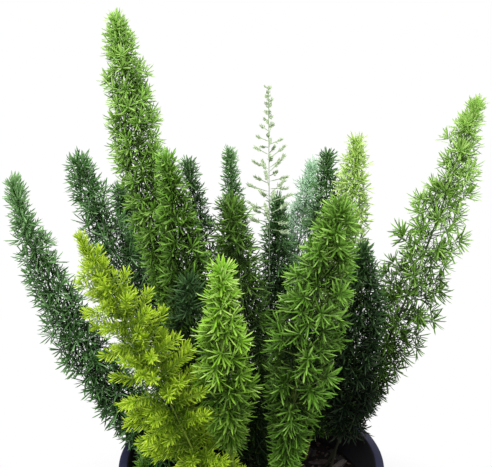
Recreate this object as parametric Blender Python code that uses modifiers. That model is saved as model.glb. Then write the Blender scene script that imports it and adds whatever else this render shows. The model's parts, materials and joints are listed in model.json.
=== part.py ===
"""A foxtail fern in a nursery pot: plumed fronds planted in potting mix.

Metres, +Z up. The origin is the centre of the pot's underside, and -Y is the front.
Each frond is a tapered stem, which stands in a socket in the mix, and a tiered sleeve
around it, which holds the space of its needles.
"""
import math
from collections import namedtuple

import bmesh
import bpy
from mathutils import Matrix, Vector

GAP = 0.0003  # between pieces that touch

# Pot
POT_HEIGHT = 0.190
RIM_RADIUS = 0.100
RIM_WIDTH = 0.0068  # flat top, from the inner wall to the outer edge
RIM_SKIRT = 0.014  # the rim's outer band hangs down this far
RIM_ROUND = 0.0015
BASE_RADIUS = 0.074
WALL = 0.0018
FLOOR = 0.0035
CORNER = 0.005  # rounded edge between wall and floor
POT_STEPS = 48
DRAIN_COUNT = 8
DRAIN_RADIUS = 0.005
DRAIN_CIRCLE = 0.048

# Potting mix
SOIL_LEVEL = 0.164
SOIL_CROWN = 0.001  # higher in the middle
SOIL_DIP = 0.002  # lower against the wall
SOIL_STEPS = 48

# Stems
ROOT_DEPTH = 0.030  # how deep a stem stands in the mix
TIP_RADIUS = 0.0006
BEVEL_RESOLUTION = 2  # eight sides

# Foliage
WHORL_PITCH = 0.030
CROWN = 0.007  # needles stand this far past the tip of the stem
SKIRT_SHARE = 0.52  # a tier's narrow lower edge, as a share of its widest reach
TIER_PEAK = 0.6  # where in a tier it is widest
SHARE_OF_ROOM = 0.47  # of the distance to the nearest other stem
THINNEST = 0.0022  # least thickness of a sleeve around its stem

Frond = namedtuple("Frond", "x y heading lean tip_lean length reach bare stem tone")

# Place on the mix, direction that it leans in (degrees from +X), lean from upright at the
# foot and at the tip (degrees), length, widest half-width, bare length, stem radius, tone.
FRONDS = {
    "far_left": Frond(-0.050, 0.018, 180, 43, 9, 0.272, 0.020, 0.030, 0.0014, "dark"),
    "left": Frond(-0.036, 0.040, 160, 25, 21, 0.258, 0.021, 0.030, 0.0013, "dark"),
    "inner_left": Frond(-0.016, 0.064, 155, 34, 17, 0.230, 0.018, 0.030, 0.0012, "dark"),
    "tall": Frond(-0.024, 0.012, 175, 15, 6, 0.357, 0.019, 0.030, 0.0015, "green"),
    "mid_left": Frond(-0.026, -0.016, 175, 4, 9, 0.266, 0.018, 0.025, 0.0013, "green"),
    "back_left": Frond(-0.004, 0.042, 130, 20, 14, 0.240, 0.015, 0.035, 0.0012, "dark"),
    "lime": Frond(-0.015, -0.056, 203, 18, 25, 0.261, 0.027, 0.017, 0.0013, "lime"),
    "centre": Frond(-0.006, -0.048, 250, 20, -1, 0.222, 0.020, 0.016, 0.0013, "bright"),
    "short": Frond(-0.011, -0.012, 215, 24, -1, 0.192, 0.013, 0.035, 0.0011, "dark"),
    "back": Frond(0.008, 0.066, 125, 15, 6, 0.240, 0.014, 0.030, 0.0012, "dark"),
    "middle": Frond(0.000, 0.010, 220, 0, 10, 0.235, 0.017, 0.035, 0.0012, "green"),
    "young": Frond(0.014, 0.030, 190, 0, 1, 0.303, 0.014, 0.070, 0.0011, "pale"),
    "back_centre": Frond(0.024, 0.050, 105, 7, 1, 0.212, 0.016, 0.030, 0.0012, "dark"),
    "blue": Frond(0.020, 0.068, 60, 9, 21, 0.232, 0.017, 0.030, 0.0012, "blue"),
    "back_right": Frond(0.042, 0.064, 50, 15, -3, 0.242, 0.016, 0.030, 0.0012, "dark"),
    "bright": Frond(0.044, 0.038, 30, 15, 2, 0.262, 0.014, 0.030, 0.0012, "bright"),
    "front_right": Frond(0.020, -0.042, 327, 3, 16, 0.256, 0.027, 0.016, 0.0014, "green"),
    "right": Frond(0.058, 0.006, 0, 14, -2, 0.196, 0.015, 0.025, 0.0012, "dark"),
    "far_right": Frond(0.060, 0.028, -5, 23, 12, 0.309, 0.027, 0.025, 0.0014, "green"),
    "sprig": Frond(-0.079, 0.002, 180, 6, 2, 0.026, 0.010, 0.007, 0.0009, "green"),
}

LEAF_COLOURS = {
    "dark": (0.030, 0.085, 0.030),
    "green": (0.085, 0.260, 0.025),
    "bright": (0.190, 0.450, 0.040),
    "lime": (0.420, 0.600, 0.035),
    "blue": (0.110, 0.230, 0.180),
    "pale": (0.420, 0.500, 0.260),
}


def clear_scene():
    for thing in list(bpy.data.objects):
        bpy.data.objects.remove(thing, do_unlink=True)


def new_collection(name, parent=None):
    made = bpy.data.collections.new(name)
    (parent or bpy.context.scene.collection).children.link(made)
    return made


def new_material(name, colour, roughness):
    made = bpy.data.materials.new(name)
    made.use_nodes = True
    shader = made.node_tree.nodes["Principled BSDF"]
    shader.inputs["Base Color"].default_value = (*colour, 1.0)
    shader.inputs["Roughness"].default_value = roughness
    shader.inputs["Metallic"].default_value = 0.0
    return made


def new_object(name, data, home, material=None):
    made = bpy.data.objects.new(name, data)
    home.objects.link(made)
    if material:
        data.materials.append(material)
    return made


def as_cutter(thing):
    thing.hide_render = True
    thing.display_type = "WIRE"
    return thing


def cut_with(thing, cutters):
    boolean = thing.modifiers.new("cut", "BOOLEAN")
    boolean.operation = "DIFFERENCE"
    boolean.solver = "EXACT"
    boolean.operand_type = "COLLECTION"
    boolean.collection = cutters


# ---------------------------------------------------------------- pot and potting mix


def arc(centre_r, centre_z, radius, start, end, steps=3):
    """Points of a round edge in the profile's plane, angles in degrees from +X."""
    angles = [math.radians(start + (end - start) * i / steps) for i in range(steps + 1)]
    return [(centre_r + radius * math.cos(a), centre_z + radius * math.sin(a)) for a in angles]


def inner_radius(z):
    """The pot's inner wall tapers in a straight line from the rim to the base."""
    top = RIM_RADIUS - RIM_WIDTH
    base = BASE_RADIUS - WALL
    return base + (top - base) * z / POT_HEIGHT


def turned(name, profile, steps, home, material):
    """A solid of revolution about Z. The profile's outer side runs from top to bottom."""
    mesh = bpy.data.meshes.new(name)
    edges = [(i, i + 1) for i in range(len(profile) - 1)]
    mesh.from_pydata([(r, 0.0, z) for r, z in profile], edges, [])
    made = new_object(name, mesh, home, material)
    screw = made.modifiers.new("turn", "SCREW")
    screw.steps = screw.render_steps = steps
    screw.use_merge_vertices = True
    screw.merge_threshold = 0.00005
    screw.use_smooth_shade = True
    return made


def pot_profile():
    top = POT_HEIGHT
    lip = top - RIM_ROUND
    inside = inner_radius(FLOOR + CORNER) - CORNER
    skirt_inside = RIM_RADIUS - WALL
    points = [(0.0, FLOOR)]
    points += arc(inside, FLOOR + CORNER, CORNER, -90, 0)
    points += arc(inner_radius(lip) + RIM_ROUND, lip, RIM_ROUND, 180, 90)
    points += arc(RIM_RADIUS - RIM_ROUND, lip, RIM_ROUND, 90, 0)
    points += [(RIM_RADIUS, top - RIM_SKIRT), (skirt_inside, top - RIM_SKIRT)]
    points += [(skirt_inside, top - WALL), (inner_radius(top - WALL) + WALL, top - WALL)]
    points += arc(inner_radius(CORNER) + WALL - CORNER, CORNER, CORNER, 0, -90)
    return points + [(0.0, 0.0)]


def make_pot(home, cutters, material):
    own = new_collection("drain_cutters", cutters)
    holes = bmesh.new()
    for i in range(DRAIN_COUNT):
        angle = 2 * math.pi * (i + 0.5) / DRAIN_COUNT
        place = Vector((DRAIN_CIRCLE * math.cos(angle), DRAIN_CIRCLE * math.sin(angle), 0.0))
        bmesh.ops.create_cone(
            holes, cap_ends=True, segments=12, radius1=DRAIN_RADIUS, radius2=DRAIN_RADIUS,
            depth=4 * FLOOR, matrix=Matrix.Translation(place),
        )
    mesh = bpy.data.meshes.new("drain_holes")
    holes.to_mesh(mesh)
    holes.free()
    as_cutter(new_object("drain_holes", mesh, own))
    cut_with(turned("pot", pot_profile(), POT_STEPS, home, material), own)


def make_soil(home, clearances, material):
    edge = SOIL_LEVEL - SOIL_DIP
    corner_z = FLOOR + CORNER
    inside = inner_radius(corner_z) - CORNER
    points = [(0.0, SOIL_LEVEL + SOIL_CROWN), (inner_radius(edge) * 0.8, SOIL_LEVEL)]
    points += [(inner_radius(edge) - GAP, edge)]
    points += arc(inside, corner_z, CORNER - GAP, 0, -90)
    points += [(0.0, FLOOR + GAP)]
    soil = turned("potting_mix", points, SOIL_STEPS, home, material)
    cut_with(soil, clearances)


# ---------------------------------------------------------------- fronds


def lean_at(frond, s):
    share = min(max(s / frond.length, 0.0), 1.0)
    return math.radians(frond.lean + (frond.tip_lean - frond.lean) * share)


def direction_at(frond, s):
    lean, heading = lean_at(frond, s), math.radians(frond.heading)
    out = math.sin(lean)
    return Vector((out * math.cos(heading), out * math.sin(heading), math.cos(lean)))


def spine_point(frond, s):
    """Where the stem is at a distance s along it: straight below the mix and past its tip,
    and a circular arc between."""
    foot = Vector((frond.x, frond.y, SOIL_LEVEL))
    if s <= 0.0:
        return foot + s * direction_at(frond, 0.0)
    if s > frond.length:
        past = s - frond.length
        return spine_point(frond, frond.length) + past * direction_at(frond, s)
    first, heading = math.radians(frond.lean), math.radians(frond.heading)
    turn = (lean_at(frond, frond.length) - first) / frond.length
    if abs(turn) < 1e-6:
        return foot + s * direction_at(frond, 0.0)
    out = (math.cos(first) - math.cos(first + turn * s)) / turn
    up = (math.sin(first + turn * s) - math.sin(first)) / turn
    return foot + Vector((out * math.cos(heading), out * math.sin(heading), up))


def stem_radius(frond, s):
    share = min(max(s / frond.length, 0.0), 1.0)
    return frond.stem + (TIP_RADIUS - frond.stem) * share


def stem_stations(frond):
    """Distances along the stem of its points: its buried end, the mix, then every whorl."""
    leafy = frond.length - frond.bare
    count = max(1, round(leafy / WHORL_PITCH))
    return [-ROOT_DEPTH, 0.0] + [frond.bare + leafy * i / count for i in range(count + 1)]


def tube(name, stations, radii, frond):
    """A round tube along the stem's path, as a curve with a radius at each point."""
    curve = bpy.data.curves.new(name, "CURVE")
    curve.dimensions = "3D"
    curve.bevel_depth = 1.0
    curve.bevel_resolution = BEVEL_RESOLUTION
    curve.use_fill_caps = True
    curve.render_resolution_u = 0
    spline = curve.splines.new("POLY")
    spline.points.add(len(stations) - 1)
    for point, s, radius in zip(spline.points, stations, radii):
        point.co = (*spine_point(frond, s), 1.0)
        point.radius = radius
    return curve


def as_mesh(curve, name):
    """The tube as a closed mesh, for the Boolean modifiers."""
    maker = bpy.data.objects.new(name, curve)
    bpy.context.scene.collection.objects.link(maker)
    graph = bpy.context.evaluated_depsgraph_get()
    mesh = bpy.data.meshes.new_from_object(maker.evaluated_get(graph))
    bpy.data.objects.remove(maker, do_unlink=True)
    weld(mesh)
    return mesh


def weld(mesh):
    work = bmesh.new()
    work.from_mesh(mesh)
    bmesh.ops.remove_doubles(work, verts=work.verts, dist=0.00002)
    bmesh.ops.recalc_face_normals(work, faces=work.faces)
    work.to_mesh(mesh)
    work.free()


def full_reach(frond, s):
    """How far the needles reach from the stem where nothing stands near: narrow at the foot,
    full from a third of the way up, and drawn in to a round crown."""
    share = (s - frond.bare) / (frond.length + CROWN - frond.bare)
    foot = min(1.0, 0.55 + 1.35 * share)
    crown = min(1.0, ((1.0 - share) / 0.30) ** 0.7) if share < 1.0 else 0.0
    return frond.reach * foot * max(crown, 0.22)


def room(name, point, spines):
    """A frond's share of the distance from a point to the nearest stem of another frond."""
    others = (p for other, points in spines.items() if other != name for p in points)
    return SHARE_OF_ROOM * min((point - p).length for p in others)


def foliage_stations(frond):
    """Each tier's narrow lower edge and its widest place, then the crown."""
    whorls = [s for s in stem_stations(frond) if s >= frond.bare]
    stations = []
    for low, high in zip(whorls, whorls[1:]):
        stations += [(low, SKIRT_SHARE), (low + TIER_PEAK * (high - low), 1.0)]
    return stations + [(frond.length, 0.8), (frond.length + CROWN, 0.5)]


def make_foliage(name, frond, spines, home, clearance, material):
    stations, radii = [], []
    for s, share in foliage_stations(frond):
        most = min(full_reach(frond, s), room(name, spine_point(frond, s), spines))
        stations.append(s)
        radii.append(max(share * most, stem_radius(frond, s) + THINNEST))
    mesh = as_mesh(tube(f"{name}_foliage", stations, radii, frond), f"{name}_foliage")
    mesh.materials.clear()
    cut_with(new_object(f"{name}_foliage", mesh, home, material), clearance)


def make_frond(name, frond, spines, home, clearances, stem_material, leaf_material):
    stations = stem_stations(frond)
    radii = [stem_radius(frond, s) for s in stations]
    stem = tube(f"{name}_stem", stations, radii, frond)
    new_object(f"{name}_stem", stem, home, stem_material)

    longer = [stations[0] - GAP, *stations[1:-1], stations[-1] + GAP]
    wider = [radius + GAP / math.cos(math.pi / 8) for radius in radii]
    own = new_collection(f"{name}_clearance", clearances)
    cutter = as_mesh(tube(f"{name}_clearance", longer, wider, frond), f"{name}_clearance")
    as_cutter(new_object(f"{name}_clearance", cutter, own))
    make_foliage(name, frond, spines, home, own, leaf_material)


def main():
    clear_scene()
    parts = new_collection("potted_foxtail_fern")
    cutters = new_collection("cutters")
    clearances = new_collection("stem_clearances", cutters)
    pot_plastic = new_material("pot_plastic", (0.028, 0.029, 0.075), 0.45)
    mix = new_material("potting_mix", (0.014, 0.008, 0.006), 0.95)
    step = WHORL_PITCH / 3
    spines = {
        name: [spine_point(f, step * i) for i in range(round((f.length + CROWN) / step) + 1)]
        for name, f in FRONDS.items()
    }
    for name, frond in FRONDS.items():
        stem_colour = (0.20, 0.30, 0.10) if frond.tone == "pale" else (0.07, 0.15, 0.03)
        stem_material = new_material(f"{name}_stem", stem_colour, 0.5)
        leaf_material = new_material(f"{name}_foliage", LEAF_COLOURS[frond.tone], 0.45)
        make_frond(name, frond, spines, parts, clearances, stem_material, leaf_material)
    make_pot(parts, cutters, pot_plastic)
    make_soil(parts, clearances, mix)


main()
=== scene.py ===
# %% [markdown]
# # A potted foxtail fern
# A foxtail fern grows as plumes. Each plume is one stem with hundreds of short branchlets set
# round it, and each branchlet carries whorls of narrow keeled needles and ends in a star of
# them. All stand in bark-rich mix in a nursery pot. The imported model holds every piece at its
# real size as a simple solid, so we load it first and take every place from it. Then we grow
# the fine surface over those solids.

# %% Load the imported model
import json
import math
from collections import namedtuple

import bmesh
import bpy
import numpy as np
from mathutils import Matrix, Vector, noise


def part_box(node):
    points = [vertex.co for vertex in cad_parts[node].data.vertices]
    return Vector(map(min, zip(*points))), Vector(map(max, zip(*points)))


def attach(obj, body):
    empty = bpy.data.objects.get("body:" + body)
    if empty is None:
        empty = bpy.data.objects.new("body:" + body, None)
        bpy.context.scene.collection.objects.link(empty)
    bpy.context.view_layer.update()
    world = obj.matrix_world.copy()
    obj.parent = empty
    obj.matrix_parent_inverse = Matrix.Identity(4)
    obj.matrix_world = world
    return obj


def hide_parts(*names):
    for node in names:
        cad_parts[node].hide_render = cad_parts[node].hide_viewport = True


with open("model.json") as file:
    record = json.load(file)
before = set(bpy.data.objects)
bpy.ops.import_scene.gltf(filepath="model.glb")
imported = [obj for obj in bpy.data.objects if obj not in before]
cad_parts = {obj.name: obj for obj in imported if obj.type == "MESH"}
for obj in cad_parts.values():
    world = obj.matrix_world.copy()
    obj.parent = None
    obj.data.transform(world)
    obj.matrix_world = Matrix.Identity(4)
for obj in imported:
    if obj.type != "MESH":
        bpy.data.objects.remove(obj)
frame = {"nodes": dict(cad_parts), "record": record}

BODY = "root"
GOLDEN_ANGLE = math.pi * (3 - math.sqrt(5))
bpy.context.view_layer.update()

# %% [markdown]
# ## Camera
# The plant is seen from a little above its tallest plume, looking down about twenty degrees,
# with the pot's rim at the lower edge of the picture.

# %% Camera
def placed(name, data):
    """A new object in the scene."""
    thing = bpy.data.objects.new(name, data)
    bpy.context.scene.collection.objects.link(thing)
    return thing


LENS = 65.0
SENSOR = 36.0
PITCH = 19.8  # degrees below the horizon
EYE = Vector((-0.004, -0.577, 0.579))

eye = placed("eye", bpy.data.cameras.new("eye"))
eye.data.lens = LENS
eye.data.sensor_width = SENSOR
eye.data.clip_start = 0.01
eye.location = EYE
eye.rotation_euler = (math.radians(90 - PITCH), 0.0, 0.0)
bpy.context.scene.camera = eye
bpy.context.scene.view_settings.view_transform = "Standard"
print("camera looks down", PITCH, "degrees from", tuple(EYE))

# %% [markdown]
# ## Shader arithmetic
# A finish is a formula: a colour here, a little more of another there. Drawn as nodes it is
# hard to read, so a small class wraps a socket and lets Python's own operators add the Math
# nodes. A second class holds a tree of nodes and adds every other kind through one method,
# settings first and sockets after. A finish is such a tree in a material.


# %% A socket that does arithmetic
class Value:
    """A number that varies over a surface. Arithmetic on it adds Math nodes."""

    def __init__(self, nodes, socket):
        self.nodes = nodes
        self.socket = socket

    def maths(self, operation, *terms):
        return self.nodes.add("Math", {"operation": operation}, dict(enumerate(terms)))

    def __add__(self, other):
        return self.maths("ADD", self, other)

    def __sub__(self, other):
        return self.maths("SUBTRACT", self, other)

    def __rsub__(self, other):
        return self.maths("SUBTRACT", other, self)

    def __mul__(self, other):
        return self.maths("MULTIPLY", self, other)

    def __pow__(self, other):
        return self.maths("POWER", self, other)

    def __abs__(self):
        return self.maths("ABSOLUTE", self)

    __radd__ = __add__
    __rmul__ = __mul__

    def between(self, low, high):
        """0 up to low and 1 from high, and a straight ramp between."""
        return self.nodes.add("MapRange", {"clamp": True}, {0: self, 1: low, 2: high})


# %% Nodes, and a material
class Nodes:
    """A tree. add() makes any node: its settings first, then its sockets."""

    def __init__(self, tree):
        self.tree = tree

    def add(self, kind, settings=None, sockets=None, output=0):
        node = self.tree.nodes.new("ShaderNode" + kind)
        for name, setting in (settings or {}).items():
            setattr(node, name, setting)
        for name, given in (sockets or {}).items():
            self.feed(node.inputs[name], given)
        return Value(self, node.outputs[output])

    def feed(self, socket, given):
        if isinstance(given, Value):
            self.tree.links.new(given.socket, socket)
        elif isinstance(given, tuple) and len(given) == 3 and socket.type == "RGBA":
            socket.default_value = (*given, 1.0)
        else:
            socket.default_value = given


class Finish(Nodes):
    """One material."""

    def __init__(self, name):
        self.material = bpy.data.materials.new(name)
        self.material.use_nodes = True
        super().__init__(self.material.node_tree)
        self.shader = self.tree.nodes["Principled BSDF"]
        self.places = self.add("TexCoord", output="Object")

    def noise(self, scale, detail=3.0, rough=0.5, stretch=(1.0, 1.0, 1.0)):
        """Soft noise from 0 to 1 with about `scale` lumps to the metre."""
        places = self.add("Mapping", None, {"Vector": self.places, "Scale": stretch})
        sockets = {"Vector": places, "Scale": scale, "Detail": detail, "Roughness": rough}
        return self.add("TexNoise", None, sockets)

    def attributes(self, *names):
        return [self.add("Attribute", {"attribute_name": n}, output="Fac") for n in names]

    def mix(self, low, high, share):
        """From one colour to another."""
        return self.add("Mix", {"data_type": "RGBA"}, {0: share, 6: low, 7: high}, output=2)

    def bump(self, height, depth, strength=1.0):
        """A relief `depth` metres deep."""
        sockets = {"Height": height, "Distance": depth, "Strength": strength}
        return self.add("Bump", None, sockets)

    def coat(self, **sockets):
        """Sets the shader's own sockets. Returns the material."""
        for name, given in sockets.items():
            self.feed(self.shader.inputs[name.replace("_", " ")], given)
        return self.material

# %% [markdown]
# ## Helpers for pieces
# Every piece ends the same way: its mesh holds its place, it rides on the object's one body,
# and the solids of the imported model that it stands for are hidden.


# %% Finished pieces
SHARP_EDGE = math.radians(48.0)  # between two faces


def finished(name, mesh, material, slot, *solids):
    mesh.materials.clear()
    mesh.materials.append(material)
    piece = placed(name, mesh)
    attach(piece, BODY)
    if solids:
        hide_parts(*solids)
    mesh.calc_loop_triangles()
    print(f"{name}: {len(mesh.loop_triangles)} triangles")


def smoothed(mesh):
    """The mesh, smooth but for its real edges."""
    mesh.shade_smooth()
    mesh.set_sharp_from_angle(angle=SHARP_EDGE)
    return mesh


def mesh_of(bm, name):
    mesh = bpy.data.meshes.new(name)
    bm.to_mesh(mesh)
    bm.free()
    return smoothed(mesh)

# %% [markdown]
# ## A few small forms, copied many times
# A stem is a rod with rings along it, and a stalk is a thin spindle. A needle is a blade with
# a keel: the hull of its foot, its tip and one or two pairs of corners between. A chip of
# bark is a block with its edges taken off. We make each form once, with an operator, and lay
# many copies of it along their own lines. A plume has thousands of needles, too many for an
# operator call each, so numpy works out the copies' corners all at once. Each copy gets a
# cell of its own in a map, the UV layer named OFBake.


# %% A form and its map
class Form:
    """A closed shape with its corners, its faces, and each face's place in a map."""

    def __init__(self, bm, lay_flat):
        bmesh.ops.recalc_face_normals(bm, faces=bm.faces)
        self.corners = np.array([v.co for v in bm.verts])
        self.faces = [[loop.vert.index for loop in face.loops] for face in bm.faces]
        self.map = np.array([place for face in bm.faces for place in lay_flat(face)])
        bm.free()


def upright_strip(face):
    """The walls of a thin form all share one strip of the cell, and its ends a corner."""
    if abs(face.normal.z) > 0.99:
        return [(0.02 + 0.02 * l.vert.co.x, 0.02 + 0.02 * l.vert.co.y) for l in face.loops]
    middle = face.calc_center_median()
    turn = math.atan2(middle.y, middle.x)
    found = []
    for loop in face.loops:
        co = loop.vert.co
        lean = math.remainder(math.atan2(co.y, co.x) - turn, 2 * math.pi)
        found.append((0.5 + (0.4 * lean if co.xy.length > 1e-6 else 0.0), 0.08 + 0.92 * co.z))
    return found


def blade_sides(face):
    """A blade's faces, laid on one another as seen from above."""
    return [(0.5 + 0.9 * loop.vert.co.x, 0.04 + 0.92 * loop.vert.co.z) for loop in face.loops]


def box_sides(face):
    """A blocky form's faces, laid flat by the side of the box that they face."""
    axis = max(range(3), key=lambda i: abs(face.normal[i]))
    left, low = axis / 3, 0.5 * (face.normal[axis] > 0)
    a, b = (i for i in range(3) if i != axis)
    places = [loop.vert.co for loop in face.loops]
    return [(left + (0.5 + 0.44 * co[a]) / 3, low + (0.5 + 0.44 * co[b]) / 2) for co in places]


# %% Forms to copy
def rod(sides, cuts):
    """A cylinder from 0 to 1 along Z, of radius 1, cut across."""
    bm = bmesh.new()
    bmesh.ops.create_cone(
        bm, cap_ends=True, segments=sides, radius1=1.0, radius2=1.0, depth=1.0,
        matrix=Matrix.Translation((0.0, 0.0, 0.5)),
    )
    upright = [e for e in bm.edges if abs(e.verts[0].co.z - e.verts[1].co.z) > 0.5]
    bmesh.ops.subdivide_edges(bm, edges=upright, cuts=cuts)
    return Form(bm, upright_strip)


def spindle(sides, rings):
    """Pointed at 0 and 1 along Z: a sphere of few faces with its rings at radius 1."""
    bm = bmesh.new()
    bmesh.ops.create_uvsphere(
        bm, u_segments=sides, v_segments=rings + 1, radius=0.5,
        matrix=Matrix.Translation((0.0, 0.0, 0.5)),
    )
    for v in bm.verts:
        v.co.xy /= v.co.xy.length if v.co.xy.length > 1e-6 else 1.0
    return Form(bm, upright_strip)


def blade(*pairs):
    """From 0 to 1 along Z, with its keel towards +Y. Each pair of corners is given by its
    place along the blade and how far apart they are."""
    bm = bmesh.new()
    for end in (0.0, 1.0):
        bm.verts.new((0.0, 0.0, end))
    for place, wide in pairs:
        for side in (-0.5, 0.5):
            bm.verts.new((side * wide, -KEEL * wide, place))
    bmesh.ops.convex_hull(bm, input=bm.verts)
    return Form(bm, blade_sides)


KEEL = 0.42  # height of the keel as a share of the width

# %% Many copies as one mesh
MARGIN = 0.06  # round each copy's cell in the map


def copies(name, form, corners, shades):
    """corners holds each copy's corners, (copies, corners of the form, 3). shades holds, for
    each named attribute, a number for each copy or for each corner of each copy."""
    count, each = corners.shape[:2]
    starts = np.cumsum([0] + [len(face) for face in form.faces[:-1]])
    loops = np.concatenate(form.faces)
    offsets = np.arange(count)[:, None]
    mesh = bpy.data.meshes.new(name)
    mesh.vertices.add(count * each)
    mesh.loops.add(count * len(loops))
    mesh.polygons.add(count * len(form.faces))
    mesh.vertices.foreach_set("co", corners.astype(np.float32).ravel())
    mesh.loops.foreach_set("vertex_index", (loops + offsets * each).ravel())
    mesh.polygons.foreach_set("loop_start", (starts + offsets * len(loops)).ravel())
    mesh.update(calc_edges=True)
    for shade, numbers in shades.items():
        layer = mesh.attributes.new(shade, "FLOAT", "POINT")
        spread = np.broadcast_to(np.reshape(numbers, (count, -1)), (count, each))
        layer.data.foreach_set("value", spread.astype(np.float32).ravel())
    side = math.ceil(math.sqrt(count))
    cells = np.column_stack([np.arange(count) % side, np.arange(count) // side])
    cells = (cells[:, None] + MARGIN + (1 - 2 * MARGIN) * form.map) / side
    mesh.uv_layers.new(name="OFBake").uv.foreach_set("vector", cells.astype(np.float32).ravel())
    return smoothed(mesh)


# %% Directions
UP = np.array((0.0, 0.0, 1.0))
BACKWARDS = np.array((0.0, 1.0, 0.0))


def unit(vectors):
    return vectors / np.maximum(np.linalg.norm(vectors, axis=-1, keepdims=True), 1e-12)


def square_to(directions, hints):
    """Two unit vectors square to each direction and each other, the second near its hint."""
    side = unit(np.cross(hints, directions))
    return side, np.cross(directions, side)


def cone_of(directions, angles, turns):
    """Unit vectors at an angle from each direction, turned round it."""
    side, up = square_to(directions, BACKWARDS)
    flat = side * np.cos(turns)[..., None] + up * np.sin(turns)[..., None]
    return directions * np.cos(angles)[..., None] + flat * np.sin(angles)[..., None]

# %% [markdown]
# ## The line of a stem
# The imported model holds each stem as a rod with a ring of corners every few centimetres. The
# middle of each ring is a point on the stem's line, and a smooth curve through those points
# is what every branchlet grows from.


# %% Read a stem's line from its solid
RING_GAP = 0.0015  # corners further apart in height belong to different rings


def rings(node):
    """Centres and radii of a stem's rings, from its root to its tip."""
    places = {tuple(round(c, 6) for c in v.co) for v in frame["nodes"][node].data.vertices}
    corners = np.array(sorted(places, key=lambda place: place[2]))
    breaks = np.flatnonzero(np.diff(corners[:, 2]) > RING_GAP) + 1
    groups = np.split(corners, breaks)
    centres = np.array([group.mean(axis=0) for group in groups])
    radii = [np.linalg.norm(g - c, axis=1).mean() for g, c in zip(groups, centres)]
    return centres, np.array(radii)


class Spine:
    """The smooth line of a stem. Distances along it start at the top of the mix."""

    def __init__(self, node):
        self.centres, self.radii = rings(node)
        self.steps = np.linalg.norm(np.diff(self.centres, axis=0), axis=1)
        self.marks = np.concatenate([[0.0], np.cumsum(self.steps)]) - self.steps[0]
        self.slopes = np.gradient(self.centres, self.marks, axis=0)
        self.length = self.marks[-1]

    def at(self, distance):
        """Points and directions; past the tip the line goes straight on."""
        s = np.clip(distance, self.marks[0], self.length)
        i = np.clip(np.searchsorted(self.marks, s) - 1, 0, len(self.steps) - 1)
        h = self.steps[i][..., None]
        t = (s - self.marks[i])[..., None] / h
        a, b = self.centres[i], self.centres[i + 1]
        m, n = self.slopes[i] * h, self.slopes[i + 1] * h
        point = (2 * t**3 - 3 * t**2 + 1) * a + (t**3 - 2 * t**2 + t) * m
        point += (3 * t**2 - 2 * t**3) * b + (t**3 - t**2) * n
        slope = (6 * t**2 - 6 * t) * (a - b)
        slope += (3 * t**2 - 4 * t + 1) * m + (3 * t**2 - 2 * t) * n
        ahead = unit(slope)
        return point + ahead * (distance - s)[..., None], ahead

    def thickness(self, distance):
        return np.interp(distance, self.marks, self.radii)


spines = {n[:-5]: Spine(n) for n in sorted(frame["nodes"]) if n.endswith("_stem")}
print("stems:", {name: round(float(spine.length), 3) for name, spine in spines.items()})

# %% [markdown]
# ## How each plume grows
# The plumes are of one plant but not of one age. Old ones are dark and shaggy, with long
# needles in open stars. New ones are short-needled and bright, and the newest of all is a
# bare pale stalk with its branchlets still folded into buds. Each plume has a habit, a list
# of measures, and most share one with small changes.

# %% What a habit holds
Habit = namedtuple("Habit", (
    "foot",    # where the leafy part starts, up from the mix
    "top",     # how far the stem's tip stays below the tip of its solid
    "crown",   # how far the needles stand above the stem's tip
    "reach",   # widest half-width of the plume
    "base",    # share of the reach at the foot
    "widen",   # share of the plume's height over which it widens from there
    "tip",     # share of the reach at the tip
    "taper",   # 1 narrows steadily, and more stays full for longer
    "ragged",  # the most that a branchlet falls short of that, as a share
    "count",   # branchlets
    "crowd",   # 1 spaces them evenly, and more crowds them towards the foot
    "low",     # a branchlet's angle from the stem at the foot, in degrees
    "high",    # and at the tip
    "droop",   # how far a branchlet bends down at the foot, as a share of its length
    "lift",    # and up at the tip
    "bare",    # share of a branchlet with no needles
    "gap",     # between whorls
    "whorl",   # needles in a whorl
    "lean",    # a whorl's angle from its branchlet, in degrees
    "star",    # needles in the star at the end
    "splay",   # the star's widest angle
    "needle",  # a needle's length
    "blade",   # its width
    "bow",     # how far it curves, as a share of its length
    "close",   # how much they close up at the plume's tip, from 0 to 1
    "slim",    # the stem's thickness as a share of its solid's
    "sun",     # how much light reaches the plume, about 1 for most
    "inner",   # share of the reach inside which no light comes
    "gloom",   # how much darker the needles are at the foot, as painted shade
    "lifts",   # share of the height by which that has passed
    "pale",    # how much paler they are at the tip
    "fresh",   # how green the stem still is, from 0 to 1
    "fine",    # True for needles with two pairs of corners, False for one
))

# %% Kinds of plume
OLD = Habit(
    foot=0.014, top=0.001, crown=0.006, reach=0.021, base=0.75, widen=0.16, tip=0.34,
    taper=3.6, ragged=0.3, count=210, crowd=1.2, low=82, high=50, droop=0.1, lift=0.12,
    bare=0.3, gap=0.0042, whorl=4, lean=64, star=9, splay=80, needle=0.0104, blade=0.0012,
    bow=0.07, close=0.15, slim=0.8, sun=1.0, inner=0.5, gloom=0.9, lifts=0.85, pale=0.2,
    fresh=0.0, fine=True,
)
LONG_NEEDLED = OLD._replace(
    bare=0.34, gap=0.0058, star=10, splay=82, needle=0.013, blade=0.00118, close=0.05,
)
STARRY = OLD._replace(
    foot=0.008, top=0.007, crown=0.007, reach=0.037, base=0.12, widen=0.6, tip=0.38,
    taper=2.9, count=225, low=92, high=48, droop=0.14, lift=0.08, gap=0.0054, lean=58,
    star=14, needle=0.0122, blade=0.00125, bow=0.06, close=0.35, gloom=0.5, lifts=1.0,
    pale=0.35, fresh=0.3,
)
SHORT_NEEDLED = OLD._replace(
    base=0.9, tip=0.26, taper=4.0, gap=0.0036, needle=0.0094, blade=0.00112, inner=0.35,
)
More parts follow.
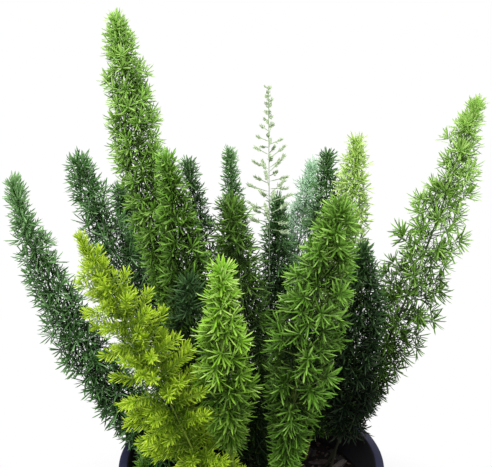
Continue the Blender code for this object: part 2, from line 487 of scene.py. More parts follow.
BRUSHY = OLD._replace(
    foot=0.01, top=0.005, reach=0.0375, base=0.95, widen=0.3, tip=0.1, taper=3.3, ragged=0.36,
    count=150, crowd=1.3, low=86, high=36, droop=0.02, lift=0.03, bare=0.1, gap=0.0017,
    whorl=5, lean=50, star=8, splay=44, needle=0.0073, blade=0.00092, bow=0.05, close=0.3,
    slim=0.55, inner=0.12, gloom=0.0, pale=0.25, fresh=0.85,
)
OPEN = OLD._replace(
    foot=0.058, reach=0.0345, base=0.5, widen=0.34, tip=0.24, ragged=0.46, count=245,
    crowd=1.5, low=80, high=40, bare=0.42, gap=0.0052, lean=62, star=14, splay=86,
    needle=0.0108, blade=0.00108, close=0.35, sun=2.2, inner=0.25, gloom=0.98, lifts=1.0,
    pale=1.4,
)
BUDDING = OLD._replace(
    foot=0.2, top=-0.001, crown=0.003, reach=0.0185, base=0.95, tip=-0.3, taper=2.4,
    ragged=0.22, count=52, low=78, high=58, droop=-0.04, lift=0.1, bare=0.54, gap=0.001,
    lean=28, star=6, splay=24, needle=0.0034, bow=0.04, slim=0.4, inner=0.0, gloom=0.0,
    pale=0.3, fine=False,
)

# %% Each plume's habit
HABITS = {
    "far_left": OLD._replace(
        foot=0.026, top=0.004, reach=0.0266, base=1.0, widen=0.4, tip=0.12, taper=5.0,
        count=300, crowd=1.5, droop=-0.12, bare=0.24, whorl=3, needle=0.012, close=0.65,
        sun=1.58, inner=0.45, gloom=0.6, pale=0.55,
    ),
    "left": LONG_NEEDLED._replace(
        top=-0.001, reach=0.032, tip=0.45, count=235, close=0.0, sun=1.5, inner=0.48,
    ),
    "inner_left": LONG_NEEDLED._replace(reach=0.031, count=225, sun=0.9),
    "tall": SHORT_NEEDLED._replace(
        reach=0.0355, base=0.08, widen=1.0, taper=4.8, count=560, crowd=1.3, close=0.0,
        sun=2.0, gloom=0.97, lifts=1.0, pale=0.9,
    ),
    "mid_left": LONG_NEEDLED._replace(
        reach=0.028, base=0.9, count=290, gap=0.0044, needle=0.0112, close=0.2, sun=1.1,
        inner=0.58, gloom=0.99, lifts=1.0,
    ),
    "back_left": OLD._replace(top=-0.001, reach=0.026, count=180, sun=0.75, pale=0.5),
    "lime": BRUSHY,
    "centre": STARRY._replace(
        foot=0.092, top=0.004, reach=0.0255, base=0.4, widen=0.3, tip=0.28, taper=3.4,
        count=112, needle=0.0118, sun=1.25, inner=0.54, gloom=0.85, lifts=0.6, pale=0.1,
        fresh=0.5,
    ),
    "short": LONG_NEEDLED._replace(
        reach=0.026, tip=0.5, count=95, sun=0.55, gloom=0.98, lifts=1.0,
    ),
    "back": OLD._replace(top=-0.002, needle=0.0092, sun=1.3, inner=0.3, pale=0.7),
    "middle": LONG_NEEDLED._replace(
        top=0.006, reach=0.027, tip=0.6, count=165, close=0.25, sun=0.52, pale=0.4,
    ),
    "young": BUDDING,
    "back_centre": OLD._replace(reach=0.025),
    "blue": OLD._replace(
        reach=0.028, count=190, needle=0.0098, sun=2.1, inner=0.15, pale=1.3,
    ),
    "back_right": OLD._replace(
        top=-0.001, reach=0.027, tip=0.42, count=165, needle=0.0115, sun=1.2, pale=0.4,
    ),
    "bright": SHORT_NEEDLED._replace(
        foot=0.03, reach=0.023, tip=0.5, count=225, sun=1.5, inner=0.15, pale=1.6, fresh=0.5,
    ),
    "front_right": STARRY,
    "right": OLD._replace(foot=0.05, reach=0.026, base=0.9, droop=0.0, sun=0.5),
    "far_right": OPEN,
    "sprig": STARRY._replace(
        foot=0.002, top=0.0, reach=0.018, base=0.9, count=10, needle=0.01, sun=1.6, gloom=0.0,
    ),
}
print("habits for", len(HABITS), "plumes")

# %% [markdown]
# ## Branchlets
# Branchlets leave a stem one after another, each turned by the golden angle from the last,
# which is how a plant spreads them evenly. On most plumes the low ones stand out level and
# droop, and the high ones point up and curve up. Arrays hold all of a plume's branchlets, one
# row each: where it starts, which way it sets off, how long it is and how it bends.

# %% How wide a plume is
RIM_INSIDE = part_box("pot")[1][0] - 0.008
RIM_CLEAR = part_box("pot")[1][2] + 0.012  # a branchlet this high passes over the rim
SHORTEST = 0.0015
OVERHANG = 0.92  # share of a needle that stands past its branchlet's end
SPIRAL_JITTER = 0.35  # radians
ANGLE_JITTER = 7.0  # degrees
BEND_JITTER = 0.04  # share of a branchlet's length


def half_width(habit, rise):
    """How far the needles reach from the stem at a share of the plume's height."""
    grown = np.clip(rise / habit.widen, 0, 1)
    foot = habit.base + (1 - habit.base) * grown**2 * (3 - 2 * grown)
    full = habit.reach * foot * (1 - (1 - habit.tip) * rise ** habit.taper)
    return np.maximum(full, 0.001)


# %% Lay out the branchlets
class Branchlets:
    """All of one plume's branchlets, one row each."""

    def __init__(self, spine, habit, rng):
        count = habit.count
        order = np.arange(count)
        self.rise = ((order + rng.uniform(0.1, 0.9, count)) / count) ** habit.crowd
        tip = spine.length - habit.top
        along = habit.foot + (tip - habit.foot) * self.rise
        self.start, ahead = spine.at(along)
        turns = order * GOLDEN_ANGLE + rng.normal(0, SPIRAL_JITTER, count)
        angle = habit.low + (habit.high - habit.low) * self.rise
        angle = np.radians(angle + rng.normal(0, ANGLE_JITTER, count))
        self.heading = cone_of(ahead, angle, turns)
        short = habit.ragged * rng.uniform(0, 1, count) ** 1.5
        wide = half_width(habit, self.rise) * (1 - short) - OVERHANG * habit.needle
        wide = wide / np.maximum(np.sin(angle), 0.6)
        room = tip + habit.crown - 0.5 * habit.needle - along
        longest = np.maximum(room, SHORTEST) / np.cos(angle).clip(0.25)
        self.length = np.clip(wide, SHORTEST, longest)
        self.length = np.minimum(self.length, self.to_rim(habit.needle))
        self.bend = self.rise * (habit.lift + habit.droop) - habit.droop
        self.bend += rng.normal(0, BEND_JITTER, count)

    def to_rim(self, needle):
        """How long each may grow before its needles touch the pot's rim. The ones that
        start well above the rim hang over it freely."""
        out = np.hypot(*self.heading[:, :2].T).clip(0.05)
        across = (self.start * self.heading)[:, :2].sum(axis=1) / out
        aside = (self.start[:, :2] ** 2).sum(axis=1) - across**2
        inside = RIM_INSIDE - 0.8 * needle
        free = (np.sqrt(np.maximum(inside**2 - aside, 0)) - across) / out
        clear = self.start[:, 2] + 0.5 * np.maximum(free, 0) * self.heading[:, 2] > RIM_CLEAR
        return np.where(clear, 1.0, np.maximum(free, SHORTEST))

    def at(self, row, share):
        """Points and directions at a share of a branchlet's length."""
        length = self.length[row][..., None]
        t = share[..., None]
        bend = self.bend[row][..., None]
        point = self.start[row] + length * (t * self.heading[row] + bend * t**2 * UP)
        return point, unit(self.heading[row] + 2 * bend * t * UP)

# %% [markdown]
# ## Needles
# A needle is flat below and keeled above, and keeps its width almost to its blunt end. The
# buds' needles are simpler, and widest in the middle. Whorls of them stand along each
# branchlet, closing up towards its end, where a star of them spreads in every direction. The
# stem's own tip ends the same way. Each needle remembers a few numbers for its finish: where
# along and across the blade a spot is, how near the plume's surface the needle's end is, how
# much painted light it gets, how much paler it is towards the plume's top, and a number of its
# own.

# %% The needle's shape
PLAIN_NEEDLE = blade((0.45, 1.0))
FINE_NEEDLE = blade((0.24, 0.85), (0.80, 0.95))
FACING_JITTER = 0.35  # how far from upwards a needle's keel may face
WIDTHS = (0.85, 1.12)  # least and most, as a share of the habit's
BOWS = (-0.7, 1.3)


def make_needles(name, form, habit, foot, heading, length, shades, rng):
    """A mesh of needles, from arrays with one row for each."""
    count = len(foot)
    across, above, along = form.corners.T
    hint = UP + rng.normal(0, FACING_JITTER, (count, 3))
    side, keel = square_to(heading, hint)
    width = habit.blade * rng.uniform(*WIDTHS, count)
    bow = habit.bow * length * rng.uniform(*BOWS, count)
    corners = foot[:, None] + heading[:, None] * (length[:, None] * along)[..., None]
    corners += side[:, None] * (width[:, None] * across)[..., None]
    raised = width[:, None] * above + bow[:, None] * along**2
    corners += keel[:, None] * raised[..., None]
    shades["along"] = np.broadcast_to(along, (count, len(along)))
    shades["across"] = np.broadcast_to(np.sign(np.round(across, 6)), (count, len(along)))
    shades["own"] = rng.uniform(0, 1, count)
    return copies(name, form, corners, shades)


# %% Whorls and stars
TIP_FROM = 0.88  # share of a plume's height at which its tip begins
MISSING = 0.06  # share of the needles that have fallen
NEARER = 0.35  # share of a gap by which the last whorl is nearer the end


def near_tip(rise):
    return np.clip((rise - TIP_FROM) / (1 - TIP_FROM), 0, 1)


def closed(habit, rise):
    """The share of its spread that a needle keeps at a share of the plume's height."""
    return 1 - habit.close * near_tip(rise)


def whorls(branchlets, habit, rng):
    """Foot, direction and height of each needle in the whorls along the branchlets."""
    most = int(branchlets.length.max() / habit.gap) + 1
    row, step, part = np.indices((habit.count, most, habit.whorl)).reshape(3, -1)
    step = step + 1
    share = 1 - (step - NEARER) * habit.gap / branchlets.length[row]
    kept = (share > habit.bare) & (rng.uniform(0, 1, len(share)) > MISSING)
    row, step, part, share = (column[kept] for column in (row, step, part, share))
    foot, ahead = branchlets.at(row, share)
    turns = 2 * math.pi * part / habit.whorl + step * GOLDEN_ANGLE + row
    turns += rng.normal(0, 0.22, len(row))
    angles = np.radians(habit.lean + 12 * (0.6 - share) + rng.normal(0, 8, len(row)))
    rise = branchlets.rise[row]
    return foot, cone_of(ahead, angles * closed(habit, rise), turns), rise


def stars(branchlets, habit, rng):
    """The same for the star at each branchlet's end."""
    row, part = np.indices((habit.count, habit.star)).reshape(2, -1)
    foot, ahead = branchlets.at(row, 1.0 - 0.02 * (part % 3))
    spread = ((part + 0.3) / habit.star) ** 0.50
    angles = np.radians(habit.splay * spread + rng.normal(0, 5, len(row)))
    turns = part * GOLDEN_ANGLE + row * 1.7 + rng.normal(0, 0.15, len(row))
    rise = branchlets.rise[row]
    return foot, cone_of(ahead, angles * closed(habit, rise), turns), rise


# %% The tip of the stem
LEADER = 0.020  # its length
LEADER_GAP = 0.0024
LEADER_LEAN = 74  # a needle's angle from the stem at the foot of the tip, in degrees
LEADER_TIP_LEAN = 18


def leader(spine, habit, rng):
    """The same for the tip of the stem, which is clothed like a branchlet."""
    reach = min(LEADER, 0.4 * spine.length)
    steps = int(reach / LEADER_GAP)
    row, part = np.indices((steps, habit.whorl + 1)).reshape(2, -1)
    share = row / steps
    foot, ahead = spine.at(spine.length - habit.top - reach * (1 - share))
    angles = LEADER_LEAN + (LEADER_TIP_LEAN - LEADER_LEAN) * share**2
    angles = np.radians(angles + rng.normal(0, ANGLE_JITTER, len(row)))
    angles = angles * (1 - 0.7 * habit.close)
    turns = 2 * math.pi * part / (habit.whorl + 1) + row * GOLDEN_ANGLE
    return foot, cone_of(ahead, angles, turns + rng.normal(0, 0.2, len(row))), 0.9 + 0.1 * share


# %% All needles of a plume
SHORTENING = 0.08  # how much shorter they are at its tip
LENGTHS = (0.76, 1.14)  # least and most, as a share of the habit's


def all_needles(name, spine, habit, branchlets, rng):
    """Every needle of a plume, with what its finish asks of it."""
    found = [whorls(branchlets, habit, rng), stars(branchlets, habit, rng)]
    found.append(leader(spine, habit, rng))
    foot, heading, rise = (np.concatenate(columns) for columns in zip(*found))
    length = 1.04 - 0.16 * rise - SHORTENING * near_tip(rise)
    length = habit.needle * length * rng.uniform(*LENGTHS, len(foot))
    middle, _ = spine.at(habit.foot + (spine.length - habit.top - habit.foot) * rise)
    end = foot + heading * length[:, None]
    depth = np.linalg.norm(end - middle, axis=1) / half_width(habit, rise)
    depth = np.clip((depth - habit.inner) / (1 - habit.inner), 0, 1)
    depth[-len(found[-1][0]):] = 1.0
    form = FINE_NEEDLE if habit.fine else PLAIN_NEEDLE
    # painted light: a level for each plume, painted darker towards its foot
    light = habit.sun * (1 - habit.gloom * (1 - np.clip(rise / habit.lifts, 0, 1)) ** 0.6)
    shades = {"depth": depth, "light": light, "pale": habit.pale * rise**2}
    return make_needles(name, form, habit, foot, heading, length, shades, rng)

# %% [markdown]
# ## Stems and stalks
# A stem is thick and round at the mix and thin at its tip. Each branchlet hangs on it by a
# stalk as thin as a thread, which shows wherever a plume is open. A stem is a rod and a stalk
# is a spindle, each laid along its own line.

# %% Bend rods into a stem and its stalks
STALK = spindle(sides=3, rings=2)
STALK_FOOT = 0.00042  # radius
STALK_TIP = 0.00024
STEM_STEP = 0.006  # between a stem's rings
STEM_SIDES = 8
KNOTS = 0.06  # how much thicker the stem is at them
KNOT_WAVES = (0.0011, 0.0073)


def bent(form, middle, ahead, radius):
    """A rod's corners, laid round the points of a line that runs ahead."""
    side, up = square_to(ahead, BACKWARDS)
    x, y = form.corners.T[:2, :, None]
    return middle + (side * x + up * y) * radius[:, None]


def make_stem(name, spine, habit):
    form = rod(STEM_SIDES, cuts=int(spine.length / STEM_STEP))
    z = form.corners[:, 2]
    low = spine.marks[0] * 0.5
    along = low + (spine.length - habit.top - low) * z
    middle, ahead = spine.at(along)
    knots = 1 + KNOTS * np.sin(along / KNOT_WAVES[0]) * np.sin(along / KNOT_WAVES[1])
    corners = bent(form, middle, ahead, habit.slim * spine.thickness(along) * knots)
    shades = {"age": 1 - z[None], "fresh": habit.fresh}
    return copies(name, form, corners[None], shades)


def make_stalks(name, habit, branchlets):
    z = STALK.corners[:, 2]
    middle, ahead = branchlets.at(np.arange(habit.count)[:, None], z)
    corners = bent(STALK, middle, ahead, STALK_FOOT + (STALK_TIP - STALK_FOOT) * z)
    age = 0.35 * (1 - z) * (1 - 0.6 * branchlets.rise[:, None])
    return copies(name, STALK, corners, {"age": age, "fresh": np.full(len(age), habit.fresh)})


# %% Join a stem with its stalks
def joined(name, *halves):
    """Two meshes in one, each with its half of the map."""
    bm = bmesh.new()
    for mesh, low in zip(halves, (0.0, 0.5)):
        uv = mesh.uv_layers["OFBake"].uv
        places = np.empty(len(uv) * 2, np.float32)
        uv.foreach_get("vector", places)
        places[0::2] = low + 0.5 * places[0::2]
        uv.foreach_set("vector", places)
        bm.from_mesh(mesh)
        bpy.data.meshes.remove(mesh)
    return mesh_of(bm, name)

# %% [markdown]
# ## Leaf finishes
# A needle is never one green. Its colour holds painted light: painted shade darkens its foot,
# the inside of the plume and the plume's lower part, and painted highlights lighten some needles
# at random and more of them near the top. Its keel is paler, partly a paler midrib and partly a
# painted highlight. Its point dries to straw, and no two needles match. A thin wax makes it
# shine a little. The colours differ from plume to plume, and the formula is the same.

# %% Greens
GREENS = {  # a needle's colour in painted shade, its blade, its ridge and painted highlight, its dry point, and its roughness
    "leaf_dark": (
        (0.002, 0.009, 0.002), (0.078, 0.25, 0.05), (0.37, 0.6, 0.27), (0.2, 0.19, 0.1), 0.4),
    "leaf_green": (
        (0.003, 0.015, 0.001), (0.155, 0.43, 0.016), (0.48, 0.73, 0.19), (0.4, 0.5, 0.12), 0.42),
    "leaf_bright": (
        (0.01, 0.05, 0.001), (0.285, 0.6, 0.025), (0.62, 0.84, 0.24), (0.6, 0.72, 0.2), 0.44),
    "leaf_lime": (
        (0.06, 0.15, 0.002), (0.45, 0.69, 0.018), (0.72, 0.88, 0.12), (0.76, 0.8, 0.16), 0.46),
    "leaf_blue": (
        (0.01, 0.036, 0.018), (0.21, 0.44, 0.22), (0.56, 0.78, 0.56), (0.36, 0.45, 0.31), 0.44),
    "leaf_pale": (
        (0.36, 0.47, 0.25), (0.58, 0.71, 0.46), (0.72, 0.8, 0.6), (0.62, 0.62, 0.44), 0.5),
}


def leaf_finish(slot, shade_green, green, ridge_and_highlight, point, rough):
    finish = Finish(slot)
    along, across, depth = finish.attributes("along", "across", "depth")
    light, own, pale = finish.attributes("light", "own", "pale")
    mottle = finish.noise(900.0, detail=2.0)
    # painted light: needles deep in the plume, at their foot and low in it are painted in shade,
    # and needles at random are painted more or less lit
    lit = depth * (0.25 + 0.75 * along) * (0.50 + 0.85 * own) * light
    colour = finish.mix(shade_green, green, lit.between(0.04, 0.66))
    # painted highlight: some needles at random, and more of them towards the plume's top, turn
    # towards the ridge colour where painted light falls
    colour = finish.mix(colour, ridge_and_highlight, own.between(0.5, 1.0) * lit * 0.7 + pale * lit)
    # a paler midrib along the keel, partly real colour and partly a painted highlight, as it
    # follows the painted light
    keel = (1 - abs(across) * 1.8).between(0.0, 1.0) * 0.3
    colour = finish.mix(colour, ridge_and_highlight, keel * lit * (0.5 + mottle))
    dry = along.between(0.86, 1.0) * (0.25 + 0.75 * own.between(0.6, 0.9)) * 0.6
    colour = finish.mix(colour, point, dry)
    rough = rough + 0.16 * mottle + 0.08 * own
    return finish.coat(Base_Color=colour, Roughness=rough, Specular_IOR_Level=0.16)


# %% Greens of the stems
FRESH_STEM = (0.340, 0.500, 0.050)


def stem_finish(slot, young, old):
    finish = Finish(slot)
    age, fresh = finish.attributes("age", "fresh")
    streaks = finish.noise(700.0, detail=4.0, stretch=(1.0, 1.0, 0.12))
    colour = finish.mix(young, old, (age * 1.1 + (streaks - 0.5) * 0.4).between(0.20, 0.56))
    colour = finish.mix(colour, FRESH_STEM, fresh)
    relief = finish.bump(streaks, 0.00015, 0.6)
    return finish.coat(Base_Color=colour, Roughness=0.46 + 0.2 * streaks, Normal=relief)


STEMS = {  # young and old
    "stem_green": ((0.100, 0.200, 0.035), (0.020, 0.022, 0.010)),
    "stem_pale": ((0.460, 0.580, 0.330), (0.024, 0.034, 0.014)),
}
finishes = {slot: leaf_finish(slot, *greens) for slot, greens in GREENS.items()}
finishes |= {slot: stem_finish(slot, *colours) for slot, colours in STEMS.items()}
print("finishes:", sorted(finishes))

# %% [markdown]
# ## Grow the plumes
# Each plume becomes two pieces, its needles and its stem with the stalks, and they stand for
# its two solids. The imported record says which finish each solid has.

# %% Grow them all
SLOTS = {part["node"]: part["material_slot"] for part in frame["record"]["subparts"]}
FIRST_SEED = 100

for seed, (name, habit) in enumerate(HABITS.items()):
    rng = np.random.default_rng(FIRST_SEED + seed)
    spine = spines[name]
    branchlets = Branchlets(spine, habit, rng)
    needles = all_needles(f"{name}_needles", spine, habit, branchlets, rng)
    stem = make_stem(f"{name}_stem_core", spine, habit)
    stalks = make_stalks(f"{name}_stalks", habit, branchlets)
    stem = joined(f"{name}_stem_and_stalks", stem, stalks)
    for mesh, solid in ((needles, f"{name}_foliage"), (stem, f"{name}_stem")):
        slot = SLOTS[solid]
        finished(mesh.name, mesh, finishes[slot], slot, solid)

# %% [markdown]
# ## Pot
# A nursery pot is one thin injection-moulded wall. It tapers to its base so that pots nest,
# its rim is folded out and down into a stiff band, and its floor has a ring of drain holes.
# It is round, so we draw half of its section and spin it once round the axis, in many more
# steps than the solid has. A Boolean cuts the holes.

# %% The pot's measures
POT_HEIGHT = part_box("pot")[1][2]
RIM_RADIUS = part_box("pot")[1][0]
RIM_WIDTH = 0.0068  # flat top, from the inner wall to the outer edge
RIM_SKIRT = 0.014  # the rim's outer band hangs down this far
RIM_ROUND = 0.0015
BASE_RADIUS = 0.074
WALL = 0.0018
FLOOR_THICK = 0.0035
CORNER = 0.005
SPIN_STEPS = 160
DRAIN_COUNT = 8
DRAIN_RADIUS = 0.005
DRAIN_CIRCLE = 0.048


def arc(centre_r, centre_z, radius, start, end, steps=5):
    """Points of a round edge in the section, angles in degrees from outwards."""
    angles = [math.radians(start + (end - start) * i / steps) for i in range(steps + 1)]
    return [(centre_r + radius * math.cos(a), centre_z + radius * math.sin(a)) for a in angles]


def inner_radius(z):
    base, top = BASE_RADIUS - WALL, RIM_RADIUS - RIM_WIDTH
    return base + (top - base) * z / POT_HEIGHT


# %% Turn the pot
def spun(section, steps):
    """A closed body from a section that starts and ends on the axis."""
    bm = bmesh.new()
    points = [bm.verts.new((r, 0.0, z)) for r, z in section]
    lines = [bm.edges.new(pair) for pair in zip(points, points[1:])]
    bmesh.ops.spin(
        bm, geom=points + lines, cent=(0, 0, 0), axis=(0, 0, 1), angle=2 * math.pi,
        steps=steps, use_merge=True, use_duplicate=False,
    )
    bmesh.ops.remove_doubles(bm, verts=bm.verts, dist=1e-6)
    bmesh.ops.recalc_face_normals(bm, faces=bm.faces)
    return bm


def pot_section():
    lip = POT_HEIGHT - RIM_ROUND
    skirt = POT_HEIGHT - RIM_SKIRT
    below_rim = POT_HEIGHT - WALL
    inside = inner_radius(FLOOR_THICK + CORNER) - CORNER
    section = [(0.0, FLOOR_THICK)]
    section += arc(inside, FLOOR_THICK + CORNER, CORNER, -90, 0)
    section += arc(inner_radius(lip) + RIM_ROUND, lip, RIM_ROUND, 180, 90)
    section += arc(RIM_RADIUS - RIM_ROUND, lip, RIM_ROUND, 90, 0)
    section += arc(RIM_RADIUS - 0.5 * WALL, skirt + 0.5 * WALL, 0.5 * WALL, 0, -180, steps=6)
    section += [(RIM_RADIUS - WALL, below_rim), (inner_radius(below_rim) + WALL, below_rim)]
    section += arc(inner_radius(CORNER) + WALL - CORNER, CORNER, CORNER, 0, -90)
    return section + [(0.0, 0.0)]


def drilled(bm, name):
    """The pot's mesh with its drain holes cut through the floor."""
    cutter = bmesh.new()
    for i in range(DRAIN_COUNT):
        turn = Matrix.Rotation(2 * math.pi * (i + 0.5) / DRAIN_COUNT, 4, "Z")
        bmesh.ops.create_cone(
            cutter, cap_ends=True, segments=32, radius1=DRAIN_RADIUS, radius2=DRAIN_RADIUS,
            depth=4 * FLOOR_THICK, matrix=turn @ Matrix.Translation((DRAIN_CIRCLE, 0.0, 0.0)),
        )
    blank = placed("blank", mesh_of(bm, "blank"))
    drill = placed("drill", mesh_of(cutter, "drill"))
    cut = blank.modifiers.new("drain", "BOOLEAN")
    cut.operation, cut.solver, cut.object = "DIFFERENCE", "EXACT", drill
    graph = bpy.context.evaluated_depsgraph_get()
    work = bmesh.new()
    work.from_mesh(blank.evaluated_get(graph).to_mesh())
    for thing in (blank, drill):
        bpy.data.objects.remove(thing, do_unlink=True)
    return mesh_of(work, name)

# %% [markdown]
# The plastic is a dark violet blue, satin rather than shiny. Handling has scratched it in
# fine lines that run round the pot, and a little dried mix clings to it. Inside, the wall is
# painted nearly black as painted shade. That shade lies where a spot is as far from the axis as
# the inner wall is at its height.


# %% Pot plastic
INSIDE_SHADE = (0.007, 0.005, 0.005)
INSIDE_SHADE_FADE = 0.0008  # how far into the wall the painted shade fades out
INSIDE_SHADE_GRAIN = 0.0006


def pot_finish():
    finish = Finish("pot_plastic")
    clouds = finish.noise(35.0, detail=5.0)
    scratches = finish.noise(90.0, detail=5.0, rough=0.7, stretch=(1.0, 1.0, 14.0))
    fine = finish.noise(1800.0, detail=2.0)
    colour = finish.mix((0.022, 0.023, 0.062), (0.036, 0.037, 0.092), clouds.between(0.3, 0.7))
    dust = clouds.between(0.52, 0.85) * fine.between(0.45, 0.75) * 0.5
    colour = finish.mix(colour, (0.090, 0.080, 0.085), dust)
    colour = finish.mix(colour, (0.070, 0.072, 0.120), scratches.between(0.60, 0.72) * 0.35)
    x, y, z = (finish.add("SeparateXYZ", None, {0: finish.places}, axis) for axis in "XYZ")
    slope = (inner_radius(POT_HEIGHT) - inner_radius(0.0)) / POT_HEIGHT
    to_wall = z * slope + inner_radius(0.0) - (x * x + y * y) ** 0.5
    # painted shade: the inside of the pot, wall and floor, painted nearly black
    inside_shade = (to_wall + fine * INSIDE_SHADE_GRAIN).between(-INSIDE_SHADE_FADE, 0.0) * (0.8 + 0.2 * clouds)
    colour = finish.mix(colour, INSIDE_SHADE, inside_shade)
    relief = finish.bump(fine * 0.6 + scratches * 0.4, 0.00012, 0.5)
    rough = 0.40 + 0.14 * clouds + (dust + inside_shade).between(0.0, 1.0) * 0.5
    return finish.coat(Base_Color=colour, Roughness=rough, Normal=relief)


pot = drilled(spun(pot_section(), SPIN_STEPS), "pot_shell")
finished("pot_shell", pot, pot_finish(), "pot_plastic", "pot")

# %% [markdown]
# ## Potting mix
# The mix fills the pot to about 25 millimetres below the rim. Its top is never flat: it is
# peat and crumbled bark, in lumps of every size. We spin the body with many rings across its
# top and raise or lower each corner there with noise. Chips of bark, crumbs and fallen
# needles lie on it, each modelled.

# %% Heap the mix
MIX_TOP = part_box("potting_mix")[1][2]
MIX_CLEAR = 0.0003  # between the mix and the pot
MIX_SHRUNK = 0.0005  # dried back from the wall by this much more
MIX_SETTLED = 0.0012  # below the solid's flat top
MIX_HOLLOW = 0.0022  # lower still by the wall
MIX_RINGS = 42
MIX_STEPS = 176
LUMPS = ((0.0190, 0.0012), (0.0070, 0.0011), (0.0028, 0.0007))  # size and height


def mix_height(x, y):
    """How high the mix lies at a place, lower by the wall."""
    out = math.hypot(x, y) / inner_radius(MIX_TOP)
    level = MIX_TOP - MIX_SETTLED - MIX_HOLLOW * out**3
    return level + sum(tall * noise.noise(Vector((x, y, size)) / size) for size, tall in LUMPS)


def mix_section():
    bottom = FLOOR_THICK + MIX_CLEAR
    wide = inner_radius(MIX_TOP) - MIX_CLEAR - MIX_SHRUNK
    section = [(wide * i / MIX_RINGS, MIX_TOP) for i in range(MIX_RINGS + 1)]
    centre = inner_radius(FLOOR_THICK + CORNER) - CORNER
    section += arc(centre, FLOOR_THICK + CORNER, CORNER - MIX_CLEAR, 0, -90)
    return section + [(0.0, bottom)]


bm = spun(mix_section(), MIX_STEPS)
for v in bm.verts:
    if v.co.z > MIX_TOP - 0.0001:
        v.co.z = mix_height(v.co.x, v.co.y)
mix_body = mesh_of(bm, "mix_body")


MOIST = (0.003, 0.002, 0.0016)
CRUMBLED = (0.018, 0.011, 0.008)
BARK_GRIT = (0.070, 0.045, 0.032)


def mix_finish():
    finish = Finish("mix")
    lumps = finish.noise(420.0, detail=6.0, rough=0.65)
    grit = finish.noise(2300.0, detail=3.0, rough=0.7)
    colour = finish.mix(MOIST, CRUMBLED, lumps.between(0.35, 0.75))
    colour = finish.mix(colour, BARK_GRIT, grit.between(0.62, 0.80) * 0.5)
    relief = finish.bump(lumps * 0.6 + grit * 0.4, 0.0012, 1.0)
    rough = 0.78 + 0.2 * grit
    return finish.coat(Base_Color=colour, Roughness=rough, Normal=relief, Specular_IOR_Level=0.2)


finished("mix_body", mix_body, mix_finish(), "potting_mix", "potting_mix")

# %% [markdown]
# ## Bark, crumbs and fallen needles
# A chip is a cube with its edges bevelled and its corners pushed about, then stretched into a
# flake. It lies nearly flat, partly sunk into the mix. A crumb is a small uneven ball and a
# fallen needle a thin spindle. All of it keeps clear of the stems.

# %% Forms for the litter
LITTER_SEED = 7
ROOM_FOR_STEMS = 0.004
ROOM_AT_WALL = 0.004  # from a piece's middle
UNEVEN_CHIP = 0.16
UNEVEN_CRUMB = 0.12
litter_rng = np.random.default_rng(LITTER_SEED)
stem_feet = np.array([spine.at(np.zeros(1))[0][0, :2] for spine in spines.values()])


def chip_form(seed):
    """A bevelled block one unit long each way, with uneven corners."""
    bm = bmesh.new()
    bmesh.ops.create_cube(bm, size=1.0)
    bmesh.ops.bevel(
        bm, geom=bm.edges[:], offset=0.16, offset_type="OFFSET", segments=1, profile=0.5,
        affect="EDGES", material=-1,
    )
    for v in bm.verts:
        v.co += UNEVEN_CHIP * noise.noise_vector(v.co * 1.7 + Vector((seed * 3.1, 0.0, 0.0)))
    return Form(bm, box_sides)


def crumb_form():
    bm = bmesh.new()
    bmesh.ops.create_icosphere(bm, subdivisions=1, radius=0.5)
    for v in bm.verts:
        v.co += UNEVEN_CRUMB * noise.noise_vector(v.co * 3.3)
    return Form(bm, box_sides)


def straw_form():
    """A thin needle one unit long along X."""
    bm = bmesh.new()
    turn = Matrix.Rotation(math.radians(90), 4, "Y")
    bmesh.ops.create_uvsphere(bm, u_segments=3, v_segments=3, radius=0.5, matrix=turn)
    return Form(bm, box_sides)


# %% Scatter them on the mix
def scatter(name, form, count, least, most, sunk, tilt):
    """Copies of a form that lie on the mix. least and most hold length, width and
    thickness, and sunk is the share of its thickness that is below the top."""
    rng = litter_rng
    least, most = np.array(least), np.array(most)
    reach = inner_radius(MIX_TOP) - ROOM_AT_WALL
    out = reach * np.sqrt(rng.uniform(0, 1, 2 * count))
    turn = rng.uniform(0, 2 * math.pi, 2 * count)
    places = np.stack([out * np.cos(turn), out * np.sin(turn)], axis=1)
    gaps = np.linalg.norm(places[:, None] - stem_feet, axis=2).min(axis=1)
    places = places[gaps > ROOM_FOR_STEMS][:count]
    count = len(places)
    size = least + (most - least) * rng.uniform(0, 1, (count, 3)) ** 1.6
    to_wall = reach + ROOM_AT_WALL - np.linalg.norm(places, axis=1)
    size[:, 0] = np.minimum(size[:, 0], 2 * to_wall)
    heights = np.array([mix_height(*place) for place in places])
    middle = np.column_stack([places, heights + size[:, 2] * (0.5 - sunk)])
    normal = unit(UP + rng.normal(0, tilt, (count, 3)) * (1, 1, 0))
    turn = rng.uniform(0, 2 * math.pi, count)
    flat = np.stack([np.cos(turn), np.sin(turn), np.zeros(count)], axis=1)
    across, length = square_to(normal, flat)
    axes = np.stack([length, across, normal], axis=1) * size[:, :, None]
    corners = middle[:, None] + np.einsum("vk,nkc->nvc", form.corners, axes)
    shades = {"own": rng.uniform(0, 1, count), "warm": rng.uniform(0, 1, count)}
    return copies(name, form, corners, shades)


# %% Bark and straw
def litter_finish(name, dark, pale, red):
    finish = Finish(name)
    own, warm = finish.attributes("own", "warm")
    fibres = finish.noise(1300.0, detail=4.0, rough=0.6)
    colour = finish.mix(dark, pale, (own * 0.7 + fibres * 0.5).between(0.45, 1.1))
    colour = finish.mix(colour, red, warm.between(0.55, 1.0) * 0.7)
    relief = finish.bump(fibres, 0.0006, 0.9)
    return finish.coat(Base_Color=colour, Roughness=0.62 + 0.25 * fibres, Normal=relief)


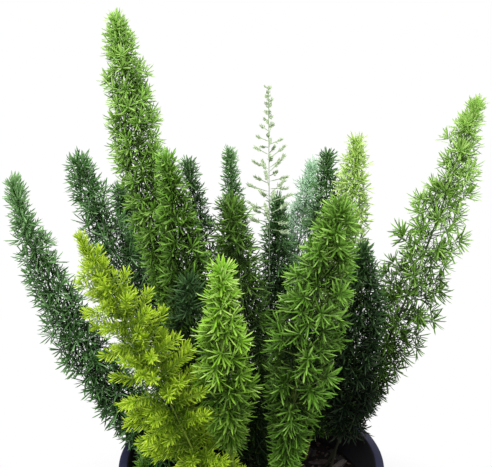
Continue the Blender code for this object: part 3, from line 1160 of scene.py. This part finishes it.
# %% Lay the litter
Litter = namedtuple("Litter", "form count least most sunk tilt")
LITTER = {
    "bark_chips": Litter(
        chip_form(1), 150, (0.005, 0.003, 0.0012), (0.015, 0.007, 0.0032), 0.3, 0.22),
    "bark_slivers": Litter(
        chip_form(2), 190, (0.004, 0.0012, 0.0008), (0.012, 0.0026, 0.0018), 0.15, 0.25),
    "crumbs": Litter(
        crumb_form(), 1300, (0.001, 0.0009, 0.0008), (0.0042, 0.0036, 0.0026), 0.35, 0.4),
    "fallen_needles": Litter(
        straw_form(), 110, (0.006, 0.0009, 0.0005), (0.011, 0.0013, 0.0007), 0.0, 0.12),
}
BARK = ((0.008, 0.006, 0.005), (0.150, 0.122, 0.112), (0.060, 0.022, 0.014))
STRAW = ((0.080, 0.060, 0.035), (0.240, 0.200, 0.120), (0.130, 0.070, 0.040))
bark = litter_finish("bark", *BARK)
straw = litter_finish("straw", *STRAW)

for name, kind in LITTER.items():
    material = straw if name == "fallen_needles" else bark
    finished(name, scatter(name, *kind), material, "potting_mix")

# %% [markdown]
# ## Light and floor
# A bright, soft studio: light from all round, a large lamp from the upper left, a weaker one
# from the right and one from above. The floor is white paper. Further from the pot it turns
# to plain white for the camera alone, so that no lamp has to be strong to whiten it.

# %% World
FROM_ALL_ROUND = 0.26

world = bpy.data.worlds.new("studio")
bpy.context.scene.world = world
world.use_nodes = True
sky = Nodes(world.node_tree)
background = world.node_tree.nodes["Background"]
background.inputs["Color"].default_value = (1.0, 1.0, 1.0, 1.0)
seen = sky.add("LightPath", output="Is Camera Ray")
seen = seen.maths("MAXIMUM", seen, sky.add("LightPath", output="Is Transmission Ray"))
level = sky.add("MapRange", None, {0: seen, "To Min": FROM_ALL_ROUND, "To Max": 1.0})
sky.feed(background.inputs["Strength"], level)

# %% Lamps
LAMPS = {  # place, size in metres, power in watts
    "key": ((-0.6, -1.4, 1.9), 1.8, 48.0),
    "fill": ((1.4, -1.0, 1.0), 1.4, 12.0),
    "top": ((0.2, 0.6, 2.1), 1.4, 18.0),
}
AIM = Vector((0.0, 0.0, 0.30))

for name, (place, size, power) in LAMPS.items():
    lamp = placed(name, bpy.data.lights.new(name, "AREA"))
    lamp.data.size = size
    lamp.data.energy = power
    lamp.location = place
    lamp.rotation_euler = (AIM - Vector(place)).to_track_quat("-Z", "Y").to_euler()
print("lamps:", ", ".join(LAMPS))

# %% Floor
FLOOR_SIZE = 14.0

bm = bmesh.new()
bmesh.ops.create_circle(bm, cap_ends=True, segments=96, radius=FLOOR_SIZE)
floor = placed("floor", mesh_of(bm, "floor"))
paper = Finish("floor_paper")
fibres = paper.noise(260.0, detail=4.0)
away = paper.add("VectorMath", {"operation": "LENGTH"}, {0: paper.places}, output="Value")
camera_ray = paper.add("LightPath", output="Is Camera Ray")
sheet = paper.mix((0.84, 0.84, 0.84), (0.88, 0.88, 0.88), fibres)
sheet = paper.mix((0.45, 0.45, 0.45), sheet, camera_ray)
paper.coat(Base_Color=sheet, Roughness=0.8)
white = paper.add("Emission", None, {"Color": (1.0, 1.0, 1.0), "Strength": 1.0})
share = away.between(0.15, 0.34) * camera_ray
sockets = {0: share, 1: Value(paper, paper.shader.outputs[0]), 2: white}
surface = paper.add("MixShader", None, sockets)
output = paper.tree.nodes["Material Output"]
paper.tree.links.new(surface.socket, output.inputs["Surface"])
floor.data.materials.append(paper.material)
